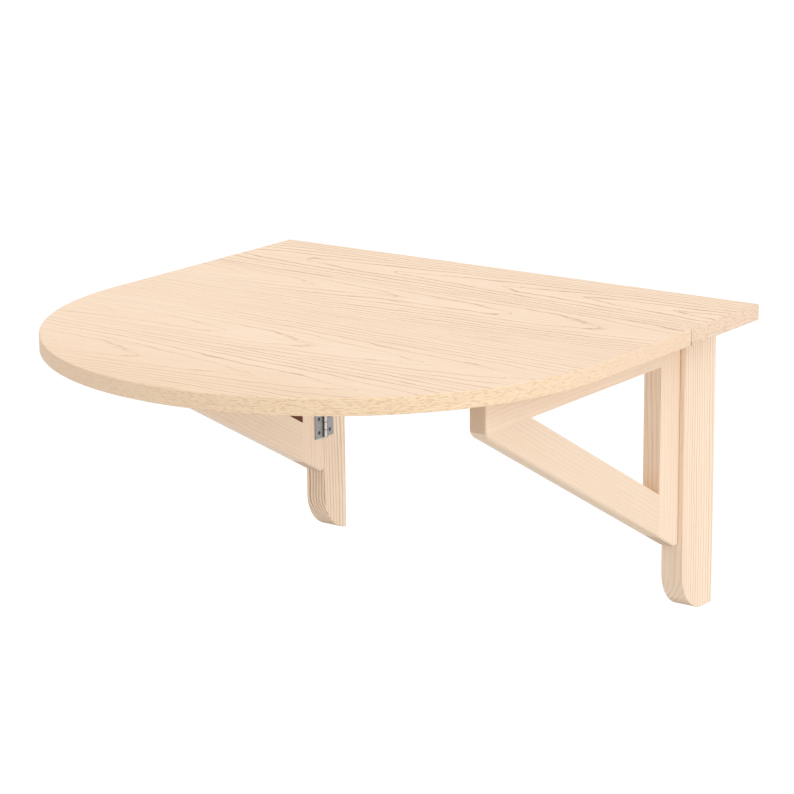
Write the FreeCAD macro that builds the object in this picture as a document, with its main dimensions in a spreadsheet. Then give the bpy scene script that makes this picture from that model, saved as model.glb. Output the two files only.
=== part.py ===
import FreeCAD, Part
import Sketcher
import os
import re
import sys

# A wall mounted drop leaf table. A fixed shelf stands on two posts that are screwed to the wall, a
# half round leaf is hinged to the shelf's front edge, and two triangular gates swing out under it.
#
# Frame: millimetres, +Z up, +X to the right along the wall, +Y into the wall. The wall is the plane
# Y = 0, and the origin is the centre of the shelf's back face.

# ---------------------------------------------------------------------------------------------
# Driving dimensions: name, value in millimetres (or a count), and what it is
# ---------------------------------------------------------------------------------------------

SIZES = [
    ("table_width", 800, "whole width along the wall, and the diameter of the leaf's round end"),
    ("table_depth", 800, "from the wall to the front of the leaf"),
    ("shelf_depth", 180, "from the wall to the middle of the seam"),
    ("seam_gap", 1, "gap between shelf and leaf"),
    ("board_thickness", 22, "shelf and leaf"),
    ("band_thickness", 2, "solid wood lipping round the edges of both boards"),
    ("board_arris", 1.5, "rounding of the boards' outer edges"),
    ("post_inset", 65, "from the table's ends to the outer faces of the posts"),
    ("post_width", 34, "across each post"),
    ("left_post_depth", 52, "how far the left post stands out from the wall"),
    ("post_height", 412, "from the shelf's underside to the foot of the posts"),
    ("toe_radius", 60, "big rounding at the foot of each post"),
    ("post_arris", 1.5, "rounding of the posts' front edges"),
    ("wall_hole_radius", 3, "holes for the wall screws"),
    ("counterbore_radius", 7, "sinks the wall screws' heads"),
    ("wall_hole_wood", 25, "wood left under the wall screws' heads"),
    ("upper_wall_hole_drop", 32, "from the shelf's underside to the upper wall screw"),
    ("lower_wall_hole_drop", 287, "from the shelf's underside to the lower wall screw"),
    ("dowel_radius", 4, "dowels between posts and shelf"),
    ("dowel_in_shelf", 12, "their depth in the shelf"),
    ("dowel_in_post", 18, "their depth in the post"),
    ("dowel_inset", 15, "from the post's front and back to the middle of a dowel"),
    ("gate_thickness", 26, "thickness of a gate"),
    ("gate_arm", 467, "from the back of a gate's stile to its tip"),
    ("gate_height", 310, "height of a gate's stile"),
    ("gate_clearance", 0.5, "between the leaf's underside and the top of a gate"),
    ("gate_gap", 1, "between an open gate's stile and its post"),
    ("gate_stack_gap", 3, "between the two gates when both are folded"),
    ("stile_width", 50, "upright member of a gate"),
    ("rail_width", 48, "top member of a gate"),
    ("brace_width", 53, "sloping member of a gate"),
    ("tip_height", 52, "upright end of a gate, before its lower corner is rounded"),
    ("heel_flat", 8, "level cut at the bottom of the stile"),
    ("tip_radius", 16, "rounding under a gate's tip"),
    ("gate_arris", 4, "rounding of a gate's outer edges"),
    ("gate_dowel_radius", 3, "dowels that join a gate's members"),
    ("gate_dowel_length", 30, "half of it in each member"),
    ("gate_dowel_inset", 13, "from a joint's ends to the middle of a dowel"),
    ("brace_dowel_lift", 20, "from the brace's lower corner at the stile up to its lower dowel"),
    ("tip_dowel_pitch", 26, "from the open triangle's front corner to the first tip dowel, and to the next"),
    ("brace_dowel_length", 20, "short dowels between rail and brace"),
    ("hinge_height", 60, "gate hinge"),
    ("hinge_inset", 52, "from the stile's ends to the hinges"),
    ("hinge_knuckles", 5, "knuckles of a gate hinge"),
    ("knuckle_gap", 0.3, "between two knuckles of any hinge"),
    ("knuckle_clearance", 0.3, "round a knuckle, to the other plate"),
    ("plate_reach", 22, "from a gate hinge's axis to the edge of its plate"),
    ("plate_thickness", 1.5, "gate hinge"),
    ("barrel_radius", 3.2, "gate hinge"),
    ("axis_offset", 3.5, "from the gate's inner face to the hinge axis"),
    ("pin_radius", 1.5, "gate hinge"),
    ("running_clearance", 0.05, "between a pin and the knuckles that turn on it"),
    ("plate_screws", 3, "screws in each plate of a gate hinge"),
    ("plate_screw_margin", 9, "from a plate's ends to its outer screws"),
    ("plate_screw_line", 13, "from the hinge axis to the line of screws"),
    ("screw_radius", 1.5, "gate hinge screw, shank"),
    ("screw_length", 16, "gate hinge screw"),
    ("head_radius", 3, "gate hinge screw, countersunk head"),
    ("head_height", 1.3, "gate hinge screw, countersunk head"),
    ("recess_width", 0.8, "cross recess in every hinge screw"),
    ("recess_length", 3, "cross recess in every hinge screw"),
    ("recess_depth", 0.8, "cross recess in every hinge screw"),
    ("leaf_hinge_setback", 3, "from the board's end to the end of the long hinge"),
    ("leaf_knuckles", 31, "knuckles of the long hinge"),
    ("leaf_plate_reach", 14, "from the long hinge's axis to the edge of its plate"),
    ("leaf_plate_thickness", 1, "long hinge"),
    ("leaf_barrel_radius", 2, "long hinge, flush with the boards' underside"),
    ("leaf_axis_offset", 2.2, "from the long hinge's axis up to the wood it is screwed to"),
    ("leaf_pin_radius", 0.9, "long hinge"),
    ("rebate_clearance", 0.5, "beside each plate of the long hinge"),
    ("leaf_screws", 10, "screws in each plate of the long hinge"),
    ("leaf_screw_margin", 22.5, "from the long hinge's ends to its outer screws"),
    ("leaf_screw_line", 8.5, "from the long hinge's axis to the line of screws"),
    ("leaf_screw_radius", 1.25, "long hinge screw, shank"),
    ("leaf_screw_length", 12, "long hinge screw"),
    ("leaf_head_radius", 2.4, "long hinge screw, countersunk head"),
    ("leaf_head_height", 0.9, "long hinge screw, countersunk head"),
    ("overrun", 10, "how far a cutting tool runs past what it cuts"),
]

NUMBERS = {name: value for name, value, _ in SIZES}
HINGE_NAMES = ("lower", "upper")
SIDES = {"left": -1, "right": 1}

# Formulas that several pieces share. Each is made of the sheet's names.
UNDERSIDE = "(-board_thickness / 2)"
GATE_TOP = f"({UNDERSIDE} - gate_clearance)"
INNER_FACE = "(table_width / 2 - post_inset - post_width)"
POST_MIDDLE = "(table_width / 2 - post_inset - post_width / 2)"
GATE_SLOPE = "((gate_height - tip_height) / (gate_arm - heel_flat))"
SEAM = "(-shelf_depth)"
SHELF_FRONT = "(-(shelf_depth - seam_gap / 2))"
LEAF_BACK = "(-(shelf_depth + seam_gap / 2))"
LEAF_AXIS_Z = f"({UNDERSIDE} + leaf_barrel_radius)"
REBATE_TOP = f"({LEAF_AXIS_Z} + leaf_axis_offset)"
# The gates fold one in front of the other, so the right post stands out by one gate more.
POST_DEPTH = {
    "left": "(left_post_depth)",
    "right": "(left_post_depth + gate_thickness + gate_stack_gap)",
}

doc = FreeCAD.newDocument("DropLeafTable")
sheet = doc.addObject("Spreadsheet::Sheet", "Sizes")
for row, (name, value, note) in enumerate(SIZES, start=1):
    sheet.set(f"A{row}", name)
    sheet.set(f"B{row}", str(value))
    sheet.set(f"C{row}", note)
    sheet.setAlias(f"B{row}", name)
doc.recompute()


# ---------------------------------------------------------------------------------------------
# Helpers
# ---------------------------------------------------------------------------------------------

def in_sheet(formula):
    """The formula with each of the sheet's names written as a reference to its cell."""
    return re.sub(r"[a-z_]+", lambda m: "Sizes." + m[0] if m[0] in NUMBERS else m[0], str(formula))


def bind(item, **formulas):
    """Bind properties of an object to formulas of the sheet's names."""
    for prop, formula in formulas.items():
        item.setExpression(prop, in_sheet(formula))
    return item


def place(item, x, y, z):
    """Bind an object's position to formulas."""
    for axis, formula in (("x", x), ("y", y), ("z", z)):
        item.setExpression("Placement.Base." + axis, in_sheet(formula))
    return item


def box(name, xs, ys, zs):
    """A box from its low and high limits along X, Y and Z, each a formula."""
    block = doc.addObject("Part::Box", name)
    bind(block, Length=f"{xs[1]} - ({xs[0]})", Width=f"{ys[1]} - ({ys[0]})", Height=f"{zs[1]} - ({zs[0]})")
    return place(block, xs[0], ys[0], zs[0])


# Turns a primitive's own +Z axis to a direction of the table's frame.
HEADINGS = {
    "+X": FreeCAD.Rotation(FreeCAD.Vector(0, 1, 0), 90),
    "-X": FreeCAD.Rotation(FreeCAD.Vector(0, 1, 0), -90),
    "+Y": FreeCAD.Rotation(FreeCAD.Vector(1, 0, 0), -90),
    "+Z": FreeCAD.Rotation(),
}


def cylinder(name, heading, radius, length, x, y, z):
    """A cylinder that starts at (x, y, z) and runs along the heading."""
    rod = doc.addObject("Part::Cylinder", name)
    rod.Placement.Rotation = HEADINGS[heading]
    bind(rod, Radius=radius, Height=length)
    return place(rod, x, y, z)


def fuse(name, pieces):
    """All the pieces as one object. Pieces that don't touch stay separate solids."""
    union = doc.addObject("Part::MultiFuse", name)
    union.Shapes = pieces
    union.Refine = True
    return union


def cut(name, base, *tools):
    """The base with every tool taken out of it."""
    for number, tool in enumerate(tools, start=1):
        trimmed = doc.addObject("Part::Cut", name if number == len(tools) else f"{name}_cut_{number}")
        trimmed.Base = base
        trimmed.Tool = tool
        trimmed.Refine = True
        base = trimmed
    return base


def common(name, *pieces):
    """What all the pieces share."""
    shared = doc.addObject("Part::MultiCommon", name)
    shared.Shapes = list(pieces)
    shared.Refine = True
    return shared


def sketch_on(body, plane):
    """A new sketch on one of the body's own origin planes."""
    sketch = body.newObject("Sketcher::SketchObject", body.Name + "_outline")
    support = [face for face in body.Origin.OriginFeatures if face.Role == plane][0]
    sketch.AttachmentSupport = [(support, "")]
    sketch.MapMode = "FlatFace"
    return sketch


def pin_point(sketch, edge, end, x, y):
    """Hold one point of a sketch's edge at two formulas, measured from the sketch's origin."""
    drawn = sketch.getPoint(edge, end)
    for kind, formula, now in (("DistanceX", x, drawn.x), ("DistanceY", y, drawn.y)):
        index = sketch.addConstraint(Sketcher.Constraint(kind, -1, 1, edge, end, now))
        sketch.setExpression(f"Constraints[{index}]", in_sheet(formula))


def polygon_body(name, plane, corners, thickness):
    """A padded body whose outline runs straight from corner to corner, each a pair of formulas."""
    body = doc.addObject("PartDesign::Body", name)
    sketch = sketch_on(body, plane)
    count = len(corners)
    for number in range(count):
        start = FreeCAD.Vector(number, number * number, 0)
        stop = FreeCAD.Vector(number + 1, (number + 1) ** 2, 0)
        sketch.addGeometry(Part.LineSegment(start, stop), False)
    for number in range(count):
        sketch.addConstraint(Sketcher.Constraint("Coincident", number, 2, (number + 1) % count, 1))
    for number, (x, y) in enumerate(corners):
        pin_point(sketch, number, 1, x, y)
    return pad(body, sketch, thickness)


def pad(body, sketch, thickness):
    """Pad the sketch along its normal."""
    solid = body.newObject("PartDesign::Pad", body.Name + "_pad")
    solid.Profile = sketch
    bind(solid, Length=thickness)
    sketch.Visibility = False
    doc.recompute()
    return body


def edges_where(shape, wanted):
    """The names of the edges whose bounding box meets a condition."""
    return [f"Edge{number}" for number, edge in enumerate(shape.Edges, start=1) if wanted(edge.BoundBox)]


def fillet(body, tag, radius, wanted):
    """Round the edges of the body's last feature that meet a condition."""
    base = body.Tip
    rounding = body.newObject("PartDesign::Fillet", f"{body.Name}_{tag}")
    rounding.Base = (base, edges_where(base.Shape, wanted))
    bind(rounding, Radius=radius)
    doc.recompute()
    return body


def near(one, other):
    return abs(one - other) < 0.001


NODES = []


def node(item, label):
    """Give a finished sub-part its label, which names its file, and keep it for export."""
    item.Label = label
    NODES.append(item)
    return item


# ---------------------------------------------------------------------------------------------
# Boards: the fixed shelf and the half round leaf
# ---------------------------------------------------------------------------------------------

def half_round_body(name, radius):
    """The leaf's outline: straight sides from the seam, then a half circle of this radius."""
    body = doc.addObject("PartDesign::Body", name)
    sketch = sketch_on(body, "XY_Plane")
    half = NUMBERS["table_width"] / 2
    back = -NUMBERS["shelf_depth"]
    centre_y = half - NUMBERS["table_depth"]
    back_left = FreeCAD.Vector(-half, back, 0)
    side_left = FreeCAD.Vector(-half, centre_y, 0)
    side_right = FreeCAD.Vector(half, centre_y, 0)
    back_right = FreeCAD.Vector(half, back, 0)
    front = FreeCAD.Vector(0, -NUMBERS["table_depth"], 0)
    sketch.addGeometry(Part.LineSegment(back_left, side_left), False)
    sketch.addGeometry(Part.Arc(side_left, front, side_right), False)
    sketch.addGeometry(Part.LineSegment(side_right, back_right), False)
    sketch.addGeometry(Part.LineSegment(back_right, back_left), False)
    for first, last, second, begin in ((0, 2, 1, 1), (1, 2, 2, 1), (2, 2, 3, 1), (3, 2, 0, 1)):
        sketch.addConstraint(Sketcher.Constraint("Coincident", first, last, second, begin))
    centre = "(table_width / 2 - table_depth)"
    pin_point(sketch, 0, 1, f"-({radius})", LEAF_BACK)
    pin_point(sketch, 0, 2, f"-({radius})", centre)
    pin_point(sketch, 2, 1, radius, centre)
    pin_point(sketch, 2, 2, radius, LEAF_BACK)
    height = sketch.addConstraint(Sketcher.Constraint("DistanceY", -1, 1, 1, 3, centre_y))
    sketch.setExpression(f"Constraints[{height}]", in_sheet(centre))
    pad(body, sketch, "board_thickness")
    return place(body, 0, 0, UNDERSIDE)


def flat_on_top_or_bottom(bounds):
    """True for an edge that lies in the padded board's upper or lower face."""
    return near(bounds.ZLength, 0)


rebate = box(
    "hinge_rebate",
    ("-table_width / 2 - overrun", "table_width / 2 + overrun"),
    (f"{SEAM} - leaf_plate_reach - rebate_clearance", f"{SEAM} + leaf_plate_reach + rebate_clearance"),
    (f"{UNDERSIDE} - overrun", REBATE_TOP),
)
# The lippings close the ends of the rebate, and leave only a slot that shows the long hinge's barrel.
barrel_slot = box(
    "barrel_slot",
    ("-table_width / 2 - overrun", "table_width / 2 + overrun"),
    (f"{SEAM} - leaf_barrel_radius - knuckle_clearance", f"{SEAM} + leaf_barrel_radius + knuckle_clearance"),
    (f"{UNDERSIDE} - overrun", f"{LEAF_AXIS_Z} + leaf_barrel_radius + knuckle_clearance"),
)

# The shelf: a board with a lipping on each end. The arris runs along the two ends only.
shelf_slab = polygon_body(
    "shelf_slab",
    "XY_Plane",
    [
        ("-table_width / 2", 0),
        ("-table_width / 2", SHELF_FRONT),
        ("table_width / 2", SHELF_FRONT),
        ("table_width / 2", 0),
    ],
    "board_thickness",
)
fillet(shelf_slab, "arris", "board_arris", lambda b: near(b.XLength, 0) and flat_on_top_or_bottom(b))
place(shelf_slab, 0, 0, UNDERSIDE)
shelf_middle = box(
    "shelf_middle",
    ("-(table_width / 2 - band_thickness)", "table_width / 2 - band_thickness"),
    (SHELF_FRONT, 0),
    (UNDERSIDE, "board_thickness / 2"),
)

# The leaf: a board with one lipping bent round its sides and front.
leaf_back_y = -(NUMBERS["shelf_depth"] + NUMBERS["seam_gap"] / 2)
leaf_slab = half_round_body("leaf_slab", "(table_width / 2)")
fillet(leaf_slab, "arris", "board_arris",
       lambda b: flat_on_top_or_bottom(b) and not (near(b.YLength, 0) and near(b.YMax, leaf_back_y)))
leaf_middle = half_round_body("leaf_middle", "(table_width / 2 - band_thickness)")


# ---------------------------------------------------------------------------------------------
# Screws and hinges
# ---------------------------------------------------------------------------------------------

def screw(name, heading, radius, length, head_radius, head_height, x, y, z):
    """A countersunk screw without its recess, its head's flat top at (x, y, z)."""
    head = doc.addObject("Part::Cone", name + "_head")
    head.Placement.Rotation = HEADINGS[heading]
    bind(head, Radius1=head_radius, Radius2=radius, Height=head_height)
    place(head, x, y, z)
    shank = cylinder(name + "_shank", heading, radius, length, x, y, z)
    return fuse(name, [head, shank])


def cross_recess(name, heading, x, y, z):
    """The cross that a driver fits, as two bars sunk into a head whose top is at (x, y, z)."""
    long_way = ("-recess_length / 2", "recess_length / 2")
    short_way = ("-recess_width / 2", "recess_width / 2")
    deep_way = {"+X": ("-overrun", "recess_depth"), "+Z": ("-overrun", "recess_depth"),
                "-X": ("-recess_depth", "overrun")}[heading]
    bars = []
    for number, (first, second) in enumerate(((long_way, short_way), (short_way, long_way))):
        spans = [first, second, deep_way] if heading == "+Z" else [deep_way, first, second]
        limits = [(f"{at} + {low}", f"{at} + {high}") for at, (low, high) in zip((x, y, z), spans)]
        bars.append(box(f"{name}_{number}", *limits))
    return bars


def knuckle_span(number, count, start, length):
    """Where knuckle number lies along its hinge: its start and its length."""
    pitch = f"({length} / {count})"
    return f"{start} + {number} * {pitch} + knuckle_gap / 2", f"{pitch} - knuckle_gap"


def gate_axis(side):
    """The X and Y of a gate's hinge axis."""
    sign = SIDES[side]
    x = f"({sign} * ({INNER_FACE} - axis_offset))"
    y = f"(-({POST_DEPTH[side]} + gate_gap / 2))"
    return x, y


def hinge_bottom(level):
    """The height of the lower end of a gate hinge."""
    if level == "lower":
        return f"({GATE_TOP} - gate_height + hinge_inset)"
    return f"({GATE_TOP} - hinge_inset - hinge_height)"


def along_plate(part, distance):
    """Y offset from the hinge axis: towards the wall for the post's plate, away for the gate's."""
    return f"{'+' if part == 'post' else '-'} {distance}"


def gate_hinge_screws(side, part):
    """Make the screws of one side's two hinges that go into the post or the gate's stile, and return
    their shape without the recesses, to cut their holes with."""
    sign = SIDES[side]
    axis_x, axis_y = gate_axis(side)
    heading = "+X" if sign > 0 else "-X"
    head_x = f"({axis_x} + {sign} * (axis_offset - plate_thickness))"
    y = f"({axis_y} {along_plate(part, 'plate_screw_line')})"
    blanks = []
    recesses = []
    count = NUMBERS["plate_screws"]
    for level in HINGE_NAMES:
        for number in range(count):
            step = f"{number} * (hinge_height - 2 * plate_screw_margin) / {count - 1}"
            z = f"({hinge_bottom(level)} + plate_screw_margin + {step})"
            name = f"{side}_{level}_{part}_screw_{number}"
            blanks.append(screw(name, heading, "screw_radius", "screw_length",
                                "head_radius", "head_height", head_x, y, z))
            recesses += cross_recess(name + "_recess", heading, head_x, y, z)
    whole = fuse(f"{side}_{part}_screw_blanks", blanks)
    name = f"{side}_{part}_hinge_screws"
    node(cut(name, whole, fuse(f"{side}_{part}_recesses", recesses)), name)
    return whole


def gate_hinge_leaf(side, level, part, screws):
    """One plate of a gate hinge with its knuckles, lying on the inner face of post or gate."""
    sign = SIDES[side]
    axis_x, axis_y = gate_axis(side)
    bottom = hinge_bottom(level)
    name = f"{side}_{level}_hinge_{part}_leaf"
    faces = (f"{axis_x} + {sign} * axis_offset", f"{axis_x} + {sign} * (axis_offset - plate_thickness)")
    xs = faces if sign < 0 else faces[::-1]
    ys = (axis_y, f"{axis_y} + plate_reach") if part == "post" else (f"{axis_y} - plate_reach", axis_y)
    plate = box(name + "_plate", xs, ys, (bottom, f"{bottom} + hinge_height"))
    count = NUMBERS["hinge_knuckles"]
    first = 0 if part == "post" else 1
    knuckles = []
    notches = []
    for number in range(count):
        start, length = knuckle_span(number, "hinge_knuckles", bottom, "hinge_height")
        if number % 2 == first:
            knuckles.append(cylinder(f"{name}_knuckle_{number}", "+Z", "barrel_radius", length,
                                     axis_x, axis_y, start))
        else:
            reach = "(barrel_radius + knuckle_clearance)"
            low = f"{start} - knuckle_gap"
            notches.append(box(f"{name}_notch_{number}", (f"{axis_x} - overrun", f"{axis_x} + overrun"),
                               (f"{axis_y} - {reach}", f"{axis_y} + {reach}"),
                               (low, f"{low} + {length} + 2 * knuckle_gap")))
    bore_radius = "pin_radius" if part == "post" else "(pin_radius + running_clearance)"
    bore = cylinder(name + "_bore", "+Z", bore_radius, "hinge_height + 2 * overrun",
                    axis_x, axis_y, f"{bottom} - overrun")
    notched = cut(name + "_notched", plate, fuse(name + "_notches", notches))
    rolled = fuse(name + "_rolled", [notched] + knuckles)
    return node(cut(name, rolled, bore, screws), name)


def leaf_hinge_screws(part):
    """Make the screws of the long hinge that go up into the shelf or the leaf, and return their
    shape without the recesses, to cut their holes with."""
    y = f"({SEAM} {along_plate('post' if part == 'shelf' else 'gate', 'leaf_screw_line')})"
    z = f"({REBATE_TOP} - leaf_plate_thickness)"
    blanks = []
    recesses = []
    count = NUMBERS["leaf_screws"]
    for number in range(count):
        reach = "(table_width / 2 - leaf_hinge_setback - leaf_screw_margin)"
        x = f"({2 * number / (count - 1) - 1} * {reach})"
        name = f"leaf_hinge_{part}_screw_{number}"
        blanks.append(screw(name, "+Z", "leaf_screw_radius", "leaf_screw_length",
                            "leaf_head_radius", "leaf_head_height", x, y, z))
        recesses += cross_recess(name + "_recess", "+Z", x, y, z)
    whole = fuse(f"leaf_hinge_{part}_screw_blanks", blanks)
    name = f"leaf_hinge_{part}_screws"
    node(cut(name, whole, fuse(f"leaf_hinge_{part}_recesses", recesses)), name)
    return whole


def leaf_hinge_plate(part, screws):
    """One plate of the long hinge, let into the underside of shelf or leaf."""
    name = f"leaf_hinge_{part}_plate"
    start_x = "(-table_width / 2 + leaf_hinge_setback)"
    whole = "(table_width - 2 * leaf_hinge_setback)"
    ys = (SEAM, f"{SEAM} + leaf_plate_reach") if part == "shelf" else (f"{SEAM} - leaf_plate_reach", SEAM)
    plate = box(name + "_blank", (start_x, f"{start_x} + {whole}"), ys,
                (f"{REBATE_TOP} - leaf_plate_thickness", REBATE_TOP))
    first = 0 if part == "shelf" else 1
    knuckles = []
    notches = []
    for number in range(NUMBERS["leaf_knuckles"]):
        start, length = knuckle_span(number, "leaf_knuckles", start_x, whole)
        if number % 2 == first:
            knuckles.append(cylinder(f"{name}_knuckle_{number}", "+X", "leaf_barrel_radius", length,
                                     start, SEAM, LEAF_AXIS_Z))
        else:
            reach = "(leaf_barrel_radius + knuckle_clearance)"
            low = f"{start} - knuckle_gap"
            notches.append(box(f"{name}_notch_{number}", (low, f"{low} + {length} + 2 * knuckle_gap"),
                               (f"{SEAM} - {reach}", f"{SEAM} + {reach}"),
                               (f"{LEAF_AXIS_Z} - overrun", f"{LEAF_AXIS_Z} + overrun")))
    bore_radius = "leaf_pin_radius" if part == "shelf" else "(leaf_pin_radius + running_clearance)"
    bore = cylinder(name + "_bore", "+X", bore_radius, "table_width + 2 * overrun",
                    "-table_width / 2 - overrun", SEAM, LEAF_AXIS_Z)
    notched = cut(name + "_notched", plate, fuse(name + "_notches", notches))
    rolled = fuse(name + "_rolled", [notched] + knuckles)
    return node(cut(name, rolled, bore, screws), name)


# The long hinge, and the two boards that it joins.
shelf_screws = leaf_hinge_screws("shelf")
leaf_screws = leaf_hinge_screws("leaf")
leaf_hinge_plate("shelf", shelf_screws)
leaf_hinge_plate("leaf", leaf_screws)
node(cylinder("leaf_hinge_pin", "+X", "leaf_pin_radius", "table_width - 2 * leaf_hinge_setback",
              "-table_width / 2 + leaf_hinge_setback", SEAM, LEAF_AXIS_Z), "leaf_hinge_pin")
node(cut("leaf_edge_band", leaf_slab, leaf_middle, barrel_slot), "leaf_edge_band")
node(cut("leaf_board", leaf_middle, rebate, leaf_screws), "leaf_board")

for side, sign in SIDES.items():
    # What is left of the slab when all but this end is taken away.
    ends = ("-table_width / 2 + band_thickness", "table_width / 2 + overrun")
    if sign > 0:
        ends = ("-table_width / 2 - overrun", "table_width / 2 - band_thickness")
    other = box(f"{side}_band_cutter", ends, (f"{SHELF_FRONT} - overrun", "overrun"),
                (f"{UNDERSIDE} - overrun", "board_thickness / 2 + overrun"))
    node(cut(f"shelf_{side}_end_band", shelf_slab, other, barrel_slot), f"shelf_{side}_end_band")


# ---------------------------------------------------------------------------------------------
# Posts, with the dowels that hold the shelf on them
# ---------------------------------------------------------------------------------------------

def post_dowels(side):
    """Two dowels that stand half in the top of a post and half in the shelf."""
    x = f"({SIDES[side]} * {POST_MIDDLE})"
    places = {"back": "-dowel_inset", "front": f"-({POST_DEPTH[side]} - dowel_inset)"}
    return [
        cylinder(f"{side}_{where}_dowel", "+Z", "dowel_radius", "dowel_in_post + dowel_in_shelf",
                 x, y, f"{UNDERSIDE} - dowel_in_post")
        for where, y in places.items()
    ]


def depth_number(side):
    """The post's depth as a number, to find its edges by."""
    extra = NUMBERS["gate_thickness"] + NUMBERS["gate_stack_gap"] if side == "right" else 0
    return NUMBERS["left_post_depth"] + extra


def post(side, dowels, screws):
    """An upright with a big rounding at its foot, drilled for its wall screws, dowels and hinges.

    The rounding can be larger than the post is deep, so the blank reaches behind the wall plane, and
    what lies behind it is cut off after the edges are rounded.
    """
    sign = SIDES[side]
    depth = POST_DEPTH[side]
    depth_now = -depth_number(side)
    body = polygon_body(
        f"{side}_post_blank",
        "YZ_Plane",
        [("toe_radius", 0), (f"-{depth}", 0), (f"-{depth}", "-post_height"), ("toe_radius", "-post_height")],
        "post_width",
    )
    foot = -NUMBERS["post_height"]
    behind = NUMBERS["toe_radius"]
    fillet(body, "toe", "toe_radius",
           lambda b: near(b.YMax, depth_now) and near(b.ZMax, foot) and near(b.ZMin, foot))
    fillet(body, "arris", "post_arris",
           lambda b: near(b.XLength, 0) and not near(b.ZMin, 0) and not near(b.YMin, behind))
    left_x = f"(-{INNER_FACE} - post_width)" if sign < 0 else INNER_FACE
    place(body, left_x, 0, UNDERSIDE)
    wall = box(f"{side}_post_wall", (f"{left_x} - overrun", f"{left_x} + post_width + overrun"),
               (0, "toe_radius + overrun"),
               (f"{UNDERSIDE} - post_height - overrun", f"{UNDERSIDE} + overrun"))
    middle = f"({sign} * {POST_MIDDLE})"
    drills = []
    for level in ("upper", "lower"):
        z = f"({UNDERSIDE} - {level}_wall_hole_drop)"
        drills.append(cylinder(f"{side}_{level}_wall_hole", "+Y", "wall_hole_radius",
                               f"{depth} + 2 * overrun", middle, f"-{depth} - overrun", z))
        drills.append(cylinder(f"{side}_{level}_counterbore", "+Y", "counterbore_radius",
                               f"{depth} - wall_hole_wood + overrun", middle, f"-{depth} - overrun", z))
    holes = fuse(f"{side}_post_drills", drills + dowels)
    return node(cut(f"{side}_post", body, wall, holes, screws), f"{side}_post")


# ---------------------------------------------------------------------------------------------
# Gates
# ---------------------------------------------------------------------------------------------

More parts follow.
